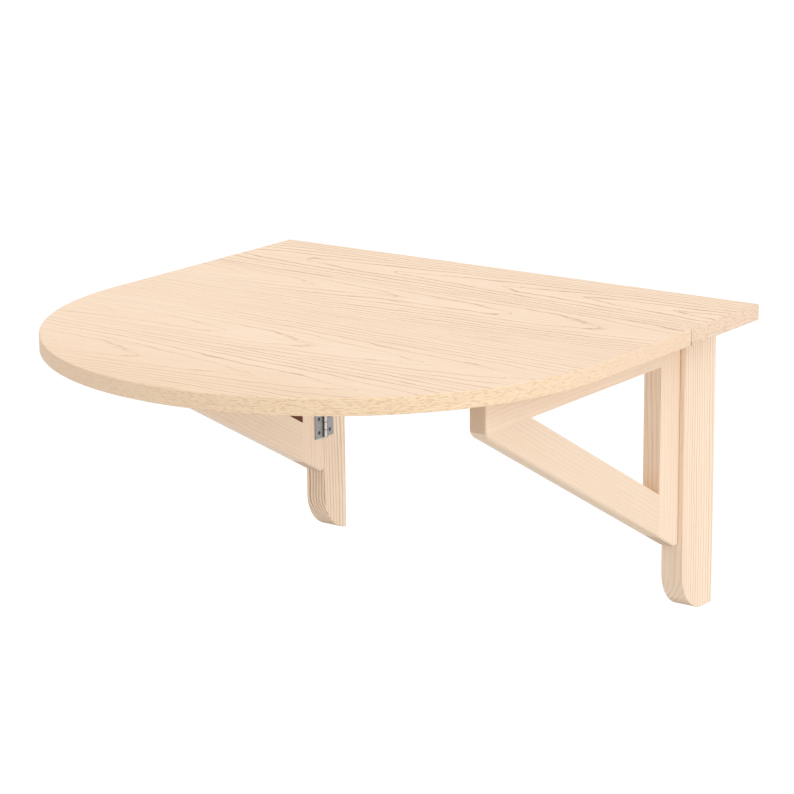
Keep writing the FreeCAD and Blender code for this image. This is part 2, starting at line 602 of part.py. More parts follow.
def gate(side, screws):
    """A triangular gate of stile, rail and brace, cut from one rounded outline and dowelled together.

    Its outline is drawn in the gate's own plane: distances run out from the stile's back, along -Y,
    and heights down from the gate's top.
    """
    sign = SIDES[side]
    low_x = f"(-{INNER_FACE} - gate_thickness)" if sign < 0 else INNER_FACE
    high_x = f"({low_x} + gate_thickness)"
    middle_x = f"({low_x} + gate_thickness / 2)"
    back_y = f"(-({POST_DEPTH[side]} + gate_gap))"
    outline = polygon_body(
        f"{side}_gate_outline",
        "YZ_Plane",
        [
            ("overrun", 0),
            ("-gate_arm", 0),
            ("-gate_arm", "-tip_height"),
            ("-heel_flat", "-gate_height"),
            ("overrun", "-gate_height"),
        ],
        "gate_thickness",
    )
    tip = -NUMBERS["gate_arm"]
    fillet(outline, "tip", "tip_radius",
           lambda b: near(b.YMax, tip) and near(b.ZMax, -NUMBERS["tip_height"]) and near(b.ZLength, 0))
    past = NUMBERS["overrun"]
    fillet(outline, "arris", "gate_arris",
           lambda b: near(b.XLength, 0) and not near(b.YMin, past))
    place(outline, low_x, back_y, GATE_TOP)

    def zone(name, near_distance, far_distance, high, low):
        """A box over the gate's whole thickness, between two distances and two heights."""
        return box(f"{side}_gate_{name}_zone", (f"{low_x} - overrun", f"{high_x} + overrun"),
                   (f"{back_y} - {far_distance}", f"{back_y} - {near_distance}"),
                   (f"{GATE_TOP} - {low}", f"{GATE_TOP} + {high}"))

    below = "(gate_height + overrun)"
    beyond = "(gate_arm + overrun)"
    stile_zone = zone("stile", 0, "stile_width", "overrun", below)
    rail_zone = zone("rail", "stile_width", beyond, "overrun", "rail_width")
    brace_zone = zone("brace", "stile_width", beyond, "-rail_width", below)
    # The brace is a straight plank that runs down from the tip to the stile's foot. The box for it
    # starts beyond the tip and reaches below the brace, and the outline trims both. The rotation
    # gives the axis to turn about, and its angle is bound to the slope.
    plank = doc.addObject("Part::Box", f"{side}_gate_brace_plank")
    plank.Placement.Rotation = FreeCAD.Rotation(FreeCAD.Vector(-1, 0, 0), 1)
    bind(plank, Length="gate_thickness + 2 * overrun", Width="gate_arm + gate_height",
         Height="brace_width + overrun")
    plank.setExpression("Placement.Rotation.Angle", in_sheet(f"atan({GATE_SLOPE})"))
    place(plank, f"{low_x} - overrun",
          f"{back_y} - gate_arm - overrun - overrun * sin(atan({GATE_SLOPE}))",
          f"{GATE_TOP} - tip_height + overrun * {GATE_SLOPE} - overrun * cos(atan({GATE_SLOPE}))")

    # Dowels: two from stile to rail, two from stile to brace, two from rail down into the brace.
    start_y = f"{back_y} - stile_width - gate_dowel_length / 2"
    upright = f"(brace_width / cos(atan({GATE_SLOPE})))"
    brace_foot = f"({GATE_TOP} - gate_height + (stile_width - heel_flat) * {GATE_SLOPE})"
    brace_top = f"({brace_foot} + {upright})"
    heights = {
        "rail_upper": f"{GATE_TOP} - gate_dowel_inset",
        "rail_lower": f"{GATE_TOP} - rail_width + gate_dowel_inset",
        "brace_upper": f"{brace_top} - gate_dowel_inset",
        "brace_lower": f"{brace_foot} + brace_dowel_lift",
    }
    dowels = [
        cylinder(f"{side}_gate_{where}_dowel", "+Y", "gate_dowel_radius", "gate_dowel_length",
                 middle_x, start_y, z)
        for where, z in heights.items()
    ]
    apex = f"(gate_arm - ({upright} + rail_width - tip_height) / {GATE_SLOPE})"
    for number in (1, 2):
        y = f"{back_y} - {apex} - {number} * tip_dowel_pitch"
        dowels.append(cylinder(f"{side}_gate_tip_dowel_{number}", "+Z", "gate_dowel_radius",
                               "brace_dowel_length", middle_x, y,
                               f"{GATE_TOP} - rail_width - brace_dowel_length / 2"))
    pegs = node(fuse(f"{side}_gate_dowels", dowels), f"{side}_gate_dowels")
    node(cut(f"{side}_gate_stile", common(f"{side}_stile_blank", outline, stile_zone), pegs, screws),
         f"{side}_gate_stile")
    node(cut(f"{side}_gate_rail", common(f"{side}_rail_blank", outline, rail_zone), pegs),
         f"{side}_gate_rail")
    node(cut(f"{side}_gate_brace", common(f"{side}_brace_blank", outline, brace_zone, plank), pegs),
         f"{side}_gate_brace")


# ---------------------------------------------------------------------------------------------
# Each side: dowels, screws, hinges, post and gate
# ---------------------------------------------------------------------------------------------

all_dowels = []
for side in SIDES:
    dowels = post_dowels(side)
    all_dowels += dowels
    post_screws = gate_hinge_screws(side, "post")
    gate_screws = gate_hinge_screws(side, "gate")
    axis_x, axis_y = gate_axis(side)
    for level in HINGE_NAMES:
        gate_hinge_leaf(side, level, "post", post_screws)
        gate_hinge_leaf(side, level, "gate", gate_screws)
        node(cylinder(f"{side}_{level}_hinge_pin", "+Z", "pin_radius", "hinge_height",
                      axis_x, axis_y, hinge_bottom(level)), f"{side}_{level}_hinge_pin")
    post(side, dowels, post_screws)
    gate(side, gate_screws)

shelf_dowels = node(fuse("shelf_dowels", all_dowels), "shelf_dowels")
node(cut("shelf_board", shelf_middle, rebate, shelf_screws, shelf_dowels), "shelf_board")

# ---------------------------------------------------------------------------------------------
# Check every object, then write each sub-part
# ---------------------------------------------------------------------------------------------

doc.recompute()
failed = [item.Name for item in doc.Objects if "Invalid" in item.State or "Error" in item.State]
if failed:
    sys.exit("failed objects: " + ", ".join(failed))
labels = [item.Label for item in NODES]
if len(set(labels)) != len(labels):
    sys.exit("two sub-parts share a name")
for item in NODES:
    if item.Shape.isNull() or not item.Shape.isValid() or not item.Shape.Solids:
        sys.exit("bad shape: " + item.Label)

os.makedirs("parts", exist_ok=True)
for item in NODES:
    item.Shape.exportStep(os.path.join("parts", item.Label + ".step"))
    bounds = item.Shape.optimalBoundingBox(False)
    print(f"{item.Label}: {len(item.Shape.Solids)} solids, {item.Shape.Volume:.0f} mm3, "
          f"X {bounds.XMin:.1f}..{bounds.XMax:.1f}, Y {bounds.YMin:.1f}..{bounds.YMax:.1f}, "
          f"Z {bounds.ZMin:.1f}..{bounds.ZMax:.1f}")
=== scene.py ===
# %% [markdown]
# # A wall mounted drop leaf table
#
# The table is a fixed shelf on two posts, a half round leaf hinged to the shelf, and two triangular
# gates that swing out under the leaf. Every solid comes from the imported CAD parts. This lesson gives
# each of them its finish: pale wood whose grain follows the way the piece was sawn, and plain steel
# for the hinges. The wall is the plane Y = 0, and +Z is up. The scene is in metres, and the finishes
# count in millimetres, which suits rings and pores better.

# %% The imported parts
import bpy
import math
from mathutils import Matrix, Vector


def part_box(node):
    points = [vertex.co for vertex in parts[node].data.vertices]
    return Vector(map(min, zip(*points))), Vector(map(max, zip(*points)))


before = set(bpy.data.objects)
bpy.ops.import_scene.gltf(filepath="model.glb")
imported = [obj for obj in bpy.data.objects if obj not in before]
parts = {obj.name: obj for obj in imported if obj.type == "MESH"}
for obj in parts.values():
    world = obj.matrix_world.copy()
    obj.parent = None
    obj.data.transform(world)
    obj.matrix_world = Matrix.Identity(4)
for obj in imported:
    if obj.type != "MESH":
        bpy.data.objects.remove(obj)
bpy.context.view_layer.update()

# %% [markdown]
# ## Sums that draw
#
# A finish is a sum that is worked out for each point of a surface. Its nodes could be added and
# linked one by one, but a long sum is easier to read as a formula. A `Wire` is one output of a node,
# and a sum of wires adds the Math nodes that work it out.

# %% A wire and its sums
class Wire:
    """One output of a node, which goes into a sum as a number does."""

    def __init__(self, finish, socket):
        self.finish = finish
        self.socket = socket

    def worked(self, operation, *values):
        return self.finish.node("ShaderNodeMath", {"operation": operation}, dict(enumerate(values)))

    def __add__(self, other):
        return self.worked("ADD", self, other)

    def __radd__(self, other):
        return self.worked("ADD", other, self)

    def __sub__(self, other):
        return self.worked("SUBTRACT", self, other)

    def __rsub__(self, other):
        return self.worked("SUBTRACT", other, self)

    def __mul__(self, other):
        return self.worked("MULTIPLY", self, other)

    def __rmul__(self, other):
        return self.worked("MULTIPLY", other, self)

    def __truediv__(self, other):
        return self.worked("DIVIDE", self, other)

    def __rtruediv__(self, other):
        return self.worked("DIVIDE", other, self)

    def __pow__(self, other):
        return self.worked("POWER", self, other)

    def __rpow__(self, other):
        return self.worked("POWER", other, self)

    def __abs__(self):
        return self.worked("ABSOLUTE", self)


# %% A finish and its nodes
class Finish:
    """The nodes of a material or of the world."""

    def __init__(self, owner):
        owner.use_nodes = True
        self.owner = owner
        self.tree = owner.node_tree

    def fill(self, socket, value):
        """Link a wire to a socket, or set the socket to a plain value."""
        if isinstance(value, Wire):
            self.tree.links.new(value.socket, socket)
        else:
            socket.default_value = value

    def node(self, kind, settings=None, sockets=None, output=0):
        """Add a node and return one of its outputs. Settings come first: they can change its sockets."""
        made = self.tree.nodes.new(kind)
        for name, value in (settings or {}).items():
            setattr(made, name, value)
        for name, value in (sockets or {}).items():
            self.fill(made.inputs[name], value)
        return Wire(self, made.outputs[output])

    def dress(self, sockets):
        """Fill sockets of the shader that a new material starts with."""
        shader = self.tree.nodes["Principled BSDF"]
        for name, value in sockets.items():
            self.fill(shader.inputs[name], value)


# %% Colours from screen values
# A screen turns a value into light along a curve, which is named sRGB. These two numbers give it.
CURVE_OFFSET, CURVE_POWER = 0.055, 2.4


def tone(red, green, blue):
    """A colour from its screen values of 0 to 255, as the light that a screen makes of them."""
    shares = [value / 255 for value in (red, green, blue)]
    linear = [((share + CURVE_OFFSET) / (1 + CURVE_OFFSET)) ** CURVE_POWER for share in shares]
    return (*linear, 1.0)


print("a middle grey of 188 stands for", round(tone(188, 188, 188)[0], 2))


# %% Small helpers for masks
def rise(finish, value, low, high):
    """0 below low, 1 above high, and a smooth slope between."""
    return finish.node("ShaderNodeMapRange", {"interpolation_type": "SMOOTHSTEP"},
                       {"Value": value, "From Min": low, "From Max": high})


def between(mask, low, high):
    """A number that is low where a mask is 0, and high where it is 1."""
    return mask * (high - low) + low


def blend(finish, mask, first, second):
    """A colour that is the first where a mask is 0, and the second where it is 1."""
    return finish.node("ShaderNodeMix", {"data_type": "RGBA"}, {0: mask, 6: first, 7: second}, output=2)


def larger(finish, first, second):
    """The larger of two numbers, and so the union of two masks that are 0 or 1."""
    return finish.node("ShaderNodeMath", {"operation": "MAXIMUM"}, {0: first, 1: second})


# %% [markdown]
# ## Where a point lies in its piece
#
# Wood looks different along the grain, across it and through it, so each finish first asks how far a
# point lies in those three directions. Each face could be unwrapped flat instead, but then the grain
# would break off at every edge. The point is read in the table's own frame, which moves with the
# piece, so the grain stays put when a gate swings. The lipping of the leaf is bent round its edge,
# so there the first distance follows the edge.

# %% Straight pieces
MM_IN_METRE = 1000


def straight_place(finish, along, across):
    """Millimetres along the grain, across it and through the piece, from two directions."""
    point = finish.node("ShaderNodeTexCoord", output="Object")
    through = along.cross(across)
    return [
        finish.node("ShaderNodeVectorMath", {"operation": "DOT_PRODUCT"},
                    {0: point, 1: direction * MM_IN_METRE}, output="Value")
        for direction in (along, across, through)
    ]


# %% The bent lipping
def millimetres(finish, axis):
    """How far a point lies along the table's X, Y or Z axis."""
    point = finish.node("ShaderNodeTexCoord", output="Object")
    return finish.node("ShaderNodeSeparateXYZ", {}, {0: point}, output=axis) * MM_IN_METRE


edge_low, edge_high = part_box("leaf_edge_band")
ROUND_RADIUS = edge_high.x * MM_IN_METRE
ROUND_CENTRE = edge_low.y * MM_IN_METRE + ROUND_RADIUS


def edge_place(finish, _along, _across):
    """Millimetres along the leaf's edge, up it, and out from the leaf's middle. The edge has its own
    directions, so the two that a straight piece is given aren't used."""
    x, y, z = [millimetres(finish, axis) for axis in "XYZ"]
    round_part = larger(finish, ROUND_CENTRE - y, 0)
    straight_part = larger(finish, y - ROUND_CENTRE, 0)
    angle = finish.node("ShaderNodeMath", {"operation": "ARCTAN2"}, {0: round_part, 1: x})
    side = finish.node("ShaderNodeMath", {"operation": "SIGN"}, {0: x})
    along = angle * ROUND_RADIUS - side * straight_part
    out = (x * x + round_part * round_part) ** 0.5
    return along, z, out


print(f"the leaf's round end has a radius of {ROUND_RADIUS:.0f} mm")

# %% [markdown]
# ## Growth rings
#
# A tree adds one ring a year: pale early wood, then a thin darker band of late wood. A board is a
# slice through those rings. Sawn near the middle of the trunk, where the heart lies some way under
# the face, the rings come out as long pointed arches, and sawn further out they come out as lines.
# A painted pattern of lines would look right from one side only, so the rings here are cylinders
# round a heart line, wandering a little and leaning slightly out of the board, and every face shows
# its own cut through them. A wide board is veneered with several leaves side by side, so its heart
# line jumps from one leaf to the next.

# %% Noise stretched along the grain
def cloud(finish, place, stretch, seed=0.0, detail=2.0, roughness=0.5):
    """Noise round 0.5, in patches as long, wide and deep as the three millimetres of stretch."""
    steps = [distance / size for distance, size in zip(place, stretch)]
    vector = finish.node("ShaderNodeCombineXYZ", {}, {0: steps[0] + seed, 1: steps[1], 2: steps[2]})
    return finish.node("ShaderNodeTexNoise", {"noise_dimensions": "3D"},
                       {"Vector": vector, "Scale": 1.0, "Detail": detail, "Roughness": roughness},
                       output="Fac")


# %% Leaves of veneer
# How far a leaf is moved along the grain, for each millimetre that its heart line is moved across.
LEAF_SHIFT = 0.9


def choose(finish, position, steps):
    """The value of the last step whose start the position has passed, from (start, value) pairs."""
    chosen = steps[0][1]
    for (_, before), (start, after) in zip(steps, steps[1:]):
        passed = finish.node("ShaderNodeMath", {"operation": "GREATER_THAN"}, {0: position, 1: start})
        chosen = passed * (after - before) + chosen
    return chosen


def leaf_by_leaf(finish, place, leaves, lines):
    """Where each point lies beside its own leaf's heart line, and how strongly rings show there. Each
    leaf is also moved along the grain, or its arches would stand in step with its neighbour's."""
    along, across, through = place
    heart = choose(finish, across, [(start, middle) for start, middle, _ in leaves])
    strength = choose(finish, across, [(start, figure * lines) for start, _, figure in leaves])
    return [along + heart * LEAF_SHIFT, across - heart, through], strength


# %% Rings round a heart line
# The sizes of the patches in which the rings stray, in millimetres along, across and through. Each
# noise adds a number of its own to the seed, so that no two are alike.
SWAY_PATCH = (260, 90, 120)
SWELL_PATCH = (300, 60, 90)
RIPPLE_PATCH = (50, 15, 15)
SWELL_SHARE = 0.4
RIPPLE_YEARS = 0.6
TIP_ROUNDING = 60


def growth_rings(finish, place, heart, lean, ring_width, wander, seed, pointed=0.0):
    """How late in its year each point grew, from 0 to 1, the number of the year, and how far it lies
    to the side of the heart line, from 0 to 1.

    heart is how far across and through the piece the heart line lies, and lean is how fast it slopes
    along the grain. wander is how far the rings sway, and pointed makes the arches more pointed.
    """
    along, across, through = place
    sway = (cloud(finish, place, SWAY_PATCH, seed) - 0.5) * wander
    swell = (cloud(finish, place, SWELL_PATCH, seed + 31) - 0.5) * (wander * SWELL_SHARE)
    from_heart = across - heart[0] + sway
    above_heart = through - heart[1] + along * lean + swell
    square = from_heart * from_heart
    radius = (square + above_heart * above_heart) ** 0.5 + (square + TIP_ROUNDING) ** 0.5 * pointed
    ripple = cloud(finish, place, RIPPLE_PATCH, seed + 57, detail=3) * RIPPLE_YEARS
    years = radius / ring_width + ripple
    year = finish.node("ShaderNodeMath", {"operation": "FLOOR"}, {0: years})
    return years - year, year, abs(from_heart / radius)


# %% [markdown]
# ## The wood
#
# The wood is a pale ash under a clear satin lacquer. Its late wood is a little darker, no two rings
# equally so, and the early wood has rows of open pores, which show as short dark dashes along the
# grain. Where a piece is cut across, the end grain drinks more lacquer and looks browner. One noise
# could stand for all of it, but real wood has each of these at its own size, so each is a mask of
# its own. Colour, gloss and a very fine relief come from the same masks, and so agree.

# %% Which way a face looks
def facing(finish, direction):
    """1 on faces that look along a direction, 0 on those beside it and -1 on those that look back."""
    normal = finish.node("ShaderNodeTexCoord", output="Normal")
    return finish.node("ShaderNodeVectorMath", {"operation": "DOT_PRODUCT"}, {0: normal, 1: direction},
                       output="Value")


def square_to(finish, direction):
    """1 on faces that look along a direction or against it, and 0 on the others."""
    return rise(finish, abs(facing(finish, direction)), 0.6, 0.9)


# %% Masks from noise
# Each mask has patches of its own size, and rises from 0 to 1 between two levels of the noise.
MASKS = {
    "fading": {"stretch": (260, 50, 50), "seed": 71, "levels": (0.2, 0.5)},
    "pores": {"stretch": (9, 0.55, 0.55), "seed": 5, "detail": 1, "levels": (0.62, 0.72)},
    "streaks": {"stretch": (220, 3.4, 3.4), "seed": 23, "levels": (0.5, 0.8)},
    "patches": {"stretch": (420, 60, 60), "seed": 11, "levels": (0.35, 0.75)},
    "flecks": {"stretch": (8, 1.8, 1.8), "seed": 37, "levels": (0.48, 0.64)},
}


def wood_mask(finish, place, kind, seed):
    """One of the masks, for a piece of wood with a seed of its own."""
    mask = MASKS[kind]
    noise = cloud(finish, place, mask["stretch"], seed + mask["seed"], detail=mask.get("detail", 2))
    return rise(finish, noise, *mask["levels"])


print("the wood has masks for", ", ".join(MASKS))


# %% Late wood
def late_wood_mask(finish, place, rings, late_share, seed):
    """How dark the late wood is, from 0 to 1. late_share is how much of a year it takes.

    A ring that is cut at a flat angle would look broad, so it is drawn thinner beside the heart line.
    Each year is dark to its own degree, and a line fades and comes back along the grain.
    """
    time, year, aside = rings
    share = between(rise(finish, aside, 0.0, 0.45), 0.3, 1) * late_share
    late = rise(finish, time, 1 - share, 1 - share * 0.35) * (1 - rise(finish, time, 0.94, 1.0))
    degree = finish.node("ShaderNodeTexWhiteNoise", {"noise_dimensions": "1D"}, {"W": year}, output="Value")
    fading = wood_mask(finish, place, "fading", seed)
    return late * between(degree, 0.5, 1) * between(fading, 0.3, 1)


def pore_mask(finish, place, time, seed):
    """Pores, most of them in the early wood, which is the first half of a year."""
    early = 1 - rise(finish, time, 0.2, 0.5)
    return wood_mask(finish, place, "pores", seed) * between(early, 0.15, 0.85)


# %% One wood finish
PORE_TONE = (198, 162, 128)
PATCH_TONE = (238, 206, 170)
END_GRAIN_TONE = (186, 158, 132)
FIBRE_SIZE = (60, 0.9, 0.9)
FAINT = 0.5
LACQUER_ROUGHNESS = 0.54
RELIEF = 0.0001


def wood(name, place_of, along, across, heart, lean, seed, ring_width, wander, pale, late=(222, 188, 154),
         late_share=0.5, lines=0.8, pointed=0.0, leaves=None, flecks=0.0, flat_cut=None, faint=None,
         stain=None):
    """A material of pale ash.

    pale and late are the tones of early and late wood, and lines is how strongly late wood shows. leaves
    are the start, heart line and strength of each veneer leaf, where there are any. flecks is the
    strength of short marks along the grain. On faces that look along flat_cut, and where the mask
    faint is 1, the rings show half as strongly. stain is the mask and the tone of a patch of colour.
    """
    finish = Finish(bpy.data.materials.new(name))
    place = place_of(finish, along, across)
    ring_place, strength = leaf_by_leaf(finish, place, leaves, lines) if leaves else (place, lines)
    rings = growth_rings(finish, ring_place, heart, lean, ring_width, wander, seed, pointed)
    late_wood = late_wood_mask(finish, ring_place, rings, late_share, seed) * strength
    if flat_cut is not None:
        late_wood = late_wood * between(square_to(finish, flat_cut), 1, FAINT)
    if faint:
        late_wood = late_wood * between(faint(finish), 1, FAINT)
    pores = pore_mask(finish, place, rings[0], seed)
    fibres = cloud(finish, place, FIBRE_SIZE, seed + 3, detail=3, roughness=0.6)
    roughness = LACQUER_ROUGHNESS + pores * 0.2 + fibres * 0.06

    layers = [
        (late_wood, late),
        (pores * 0.35, PORE_TONE),
        (rise(finish, fibres, 0.45, 0.75) * 0.2, late),
        (wood_mask(finish, place, "streaks", seed) * 0.3 * lines, late),
        (wood_mask(finish, place, "patches", seed) * 0.16, PATCH_TONE),
    ]
    if flecks:
        layers.append((wood_mask(finish, place, "flecks", seed) * flecks, late))
    if place_of is straight_place:
        end_grain = square_to(finish, along)
        layers.append((end_grain * 0.55, END_GRAIN_TONE))
        roughness = roughness + end_grain * 0.1
    if stain:
        stain_mask, stain_tone = stain
        layers.append((stain_mask(finish), stain_tone))
    colour = tone(*pale)
    for mask, layer_tone in layers:
        colour = blend(finish, mask, colour, tone(*layer_tone))

    height = fibres * 0.3 - late_wood * 0.25 - pores
    relief = finish.node("ShaderNodeBump", {}, {"Strength": 0.35, "Distance": RELIEF, "Height": height},
                         output="Normal")
    finish.dress({"Base Color": colour, "Roughness": roughness, "Normal": relief,
                  "IOR": 1.46, "Specular IOR Level": 0.25})
    return finish.owner


# %% [markdown]
# ## Which way each piece was sawn
#
# The boards are veneered, with the grain along the wall. The arches point left on the shelf, and
# right on the three leaves of the half round board. The members are solid: each has its grain along
# its length, as strength asks. All could share one finish, but then one figure would run through
# the whole table. So each piece has its heart in another place, as if cut from another board.

# %% Directions
ALONG_WALL = Vector((1, 0, 0))
OUT_OF_WALL = Vector((0, -1, 0))
UP = Vector((0, 0, 1))
# The sizes of a gate in metres. Its brace rises from the foot of the stile to the tip of the rail.
GATE_HEIGHT, TIP_HEIGHT = 0.310, 0.052
GATE_ARM, HEEL_FLAT = 0.467, 0.008
GATE_DROP = GATE_HEIGHT - TIP_HEIGHT
GATE_RUN = GATE_ARM - HEEL_FLAT
UP_THE_BRACE = Vector((0, -GATE_RUN, GATE_DROP)).normalized()
ACROSS_THE_BRACE = Vector((0, GATE_DROP, GATE_RUN)).normalized()
print(f"the braces rise at {math.degrees(math.atan2(GATE_DROP, GATE_RUN)):.1f} degrees")


# %% The dark mark inside the left gate
MARK_TONE = (122, 72, 62)
# The heights between which the mark comes in and fades out again, in millimetres.
MARK_BOTTOM = (-237.5, -236.5)
MARK_TOP = (-212, -190)


def mark_in_left_gate(finish):
    """The lowest part of the left stile's face that looks into the gate's open triangle."""
    front = rise(finish, facing(finish, OUT_OF_WALL), 0.8, 0.95)
    height = millimetres(finish, "Z")
    return front * rise(finish, height, *MARK_BOTTOM) * (1 - rise(finish, height, *MARK_TOP)) * 0.95


# %% The drift in colour and figure over the leaf
# Each change comes in between two distances in millimetres: along the lipping from its yellowest
# point, to the right from the table's middle, and out from the wall.
YELLOWEST = 330
PALER_BETWEEN = (60, 460)
FAINT_BETWEEN = (-300, 40)
WARMER_BETWEEN = (590, 740)
PALER_TONE = (240, 211, 185)
WARMER_TONE = (240, 206, 172)


def paler_ends(finish):
    """The edge of the leaf well away from the point where its lipping is yellowest."""
    along, _, _ = edge_place(finish, ALONG_WALL, UP)
    return rise(finish, abs(along - YELLOWEST), *PALER_BETWEEN) * 0.6


def fainter_left(finish):
    """The left part of the leaf, where the figure of its veneer is fainter."""
    return 1 - rise(finish, millimetres(finish, "X"), *FAINT_BETWEEN)


def warmer_front(finish):
    """The part of the leaf furthest from the wall, whose veneer is a shade warmer."""
    out_of_wall = millimetres(finish, "Y") * -1
    return rise(finish, out_of_wall, *WARMER_BETWEEN) * 0.35


# %% Boards
def dress_part(name, material):
    """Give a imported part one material."""
    slots = parts[name].data.materials
    slots.clear()
    slots.append(material)


# Where each veneer leaf starts and where its heart line runs, in millimetres out from the wall, and
# how strong its figure is.
SHELF_LEAVES = [(0, 100, 1.6)]
LEAF_LEAVES = [(0, 233, 1.3), (376, 520, 0.9), (588, 684, 1.15)]
VENEER = {"heart": (0, -80), "ring_width": 8.2, "wander": 26.0, "pointed": 0.05, "late_share": 0.24,
          "pale": (253, 228, 202), "late": (196, 156, 121), "lines": 0.95, "flat_cut": OUT_OF_WALL}
shelf_ash = wood("shelf_ash", straight_place, ALONG_WALL, OUT_OF_WALL, lean=-0.052, seed=40.0,
                 leaves=SHELF_LEAVES, **VENEER)
leaf_ash = wood("leaf_ash", straight_place, ALONG_WALL, OUT_OF_WALL, lean=0.052, seed=61.0,
                leaves=LEAF_LEAVES, faint=fainter_left, stain=(warmer_front, WARMER_TONE), **VENEER)
dress_part("shelf_board", shelf_ash)
dress_part("leaf_board", leaf_ash)
print("the boards have", len(SHELF_LEAVES) + len(LEAF_LEAVES), "leaves of veneer")

# %% Lipping
edge_ash = wood("edge_ash", edge_place, ALONG_WALL, UP, heart=(-60, 400), lean=0.004, seed=3.0,
                ring_width=3.0, wander=14.0, pale=(255, 229, 195), late=(216, 176, 132), lines=0.3,
                flecks=0.5, stain=(paler_ends, PALER_TONE))
end_ash = wood("end_ash", straight_place, OUT_OF_WALL, UP, heart=(-34, 380), lean=0.01, seed=9.0,
               ring_width=4.0, wander=20.0, pale=(243, 218, 194), late=(196, 158, 120), lines=0.4,
               flecks=0.4)
dress_part("leaf_edge_band", edge_ash)
for name in ("shelf_left_end_band", "shelf_right_end_band"):
    dress_part(name, end_ash)
print("the leaf's lipping takes", len(edge_ash.node_tree.nodes), "nodes")

# %% Posts
POSTS = {
    "left": {"heart": (-450, 70), "seed": 17.0, "pale": (253, 231, 208), "late": (164, 120, 84),
             "lines": 1.0, "ring_width": 4.0, "wander": 14.0, "flat_cut": ALONG_WALL},
    "right": {"heart": (430, 70), "seed": 71.0, "pale": (254, 232, 209), "late": (218, 186, 154),
              "lines": 0.8, "ring_width": 5.0, "wander": 10.0, "flat_cut": OUT_OF_WALL},
}
for side, cut in POSTS.items():
    dress_part(f"{side}_post", wood(f"{side}_post_ash", straight_place, UP, ALONG_WALL, lean=0.012, **cut))
    print(f"the {side} post has rings of {cut['ring_width']:.0f} mm")

# %% Gates
# The sign says on which side of the table's middle a gate stands.
GATES = {
    "left": {"sign": -1, "seed": 23.0, "pale": (251, 229, 206), "brace_pale": (249, 229, 207),
             "lines": 0.32, "stile_stain": (mark_in_left_gate, MARK_TONE)},
    "right": {"sign": 1, "seed": 83.0, "pale": (250, 227, 203), "brace_pale": (244, 222, 198),
              "lines": 0.3, "stile_stain": None},
}
STILE_LINES = 0.65
MEMBER_RINGS = {"ring_width": 5.5, "wander": 12.0}
for side, look in GATES.items():
    sign, seed = look["sign"], look["seed"]
    stile = wood(f"{side}_stile_ash", straight_place, UP, OUT_OF_WALL, heart=(260, sign * 150), lean=0.01,
                 seed=seed, pale=look["pale"], lines=STILE_LINES, flat_cut=ALONG_WALL,
                 stain=look["stile_stain"], **MEMBER_RINGS)
    rail = wood(f"{side}_rail_ash", straight_place, OUT_OF_WALL, UP, heart=(-260, sign * -400), lean=0.012,
                seed=seed + 4, pale=look["pale"], lines=look["lines"], **MEMBER_RINGS)
    brace = wood(f"{side}_brace_ash", straight_place, UP_THE_BRACE, ACROSS_THE_BRACE,
                 heart=(-560, sign * -400), lean=0.012, seed=seed + 8, pale=look["brace_pale"],
                 lines=look["lines"], **MEMBER_RINGS)
    for member, material in (("stile", stile), ("rail", rail), ("brace", brace)):
        dress_part(f"{side}_gate_{member}", material)
        print(f"the {side} gate's {member} wears {material.name}")

# %% Dowels
dowel_ash = wood("dowel_ash", straight_place, UP, ALONG_WALL, heart=(200, 60), lean=0.0, seed=51.0,
                 ring_width=2.5, wander=6.0, pale=(236, 206, 172), late=(206, 170, 132))
for name in ("shelf_dowels", "left_gate_dowels", "right_gate_dowels"):
    dress_part(name, dowel_ash)
print("wood on", sum(1 for part in parts.values() if "ash" in part.data.materials[0].name), "parts")

# %% [markdown]
# ## The steel
#
# The hinges are pressed from sheet and zinc plated, a dull grey with faint rolling marks along the
# plates. The rolled barrels are made smoother by the forming rollers, and a highlight is painted
# into their colour, with painted shade in the crease at the plates and on their side turned to the
# wall. The lines where two knuckles meet are darker. The pins and screws are the same metal, and the
# screws' heads are darker. The marks could be cut into the meshes, but they are far too fine for
# that, so they are noise stretched along the hinge.

# %% One steel finish
# The size of the spots is in millimetres, and the depth of the marks in metres.
# The bright tone is a painted highlight on the hinge barrels. The dark tone is painted shade in their
# creases and on their side turned to the wall, and it also darkens the joints between knuckles.
PAINTED_HIGHLIGHT_TONE = (220, 211, 206)
BURNISHED_ROUGHNESS = 0.24
PAINTED_SHADE_AND_JOINT_TONE = (90, 79, 71)
SPOT_SIZE = (3, 3, 3)
SPOT_SHADE = 0.86
MARK_DEPTH = 0.00005


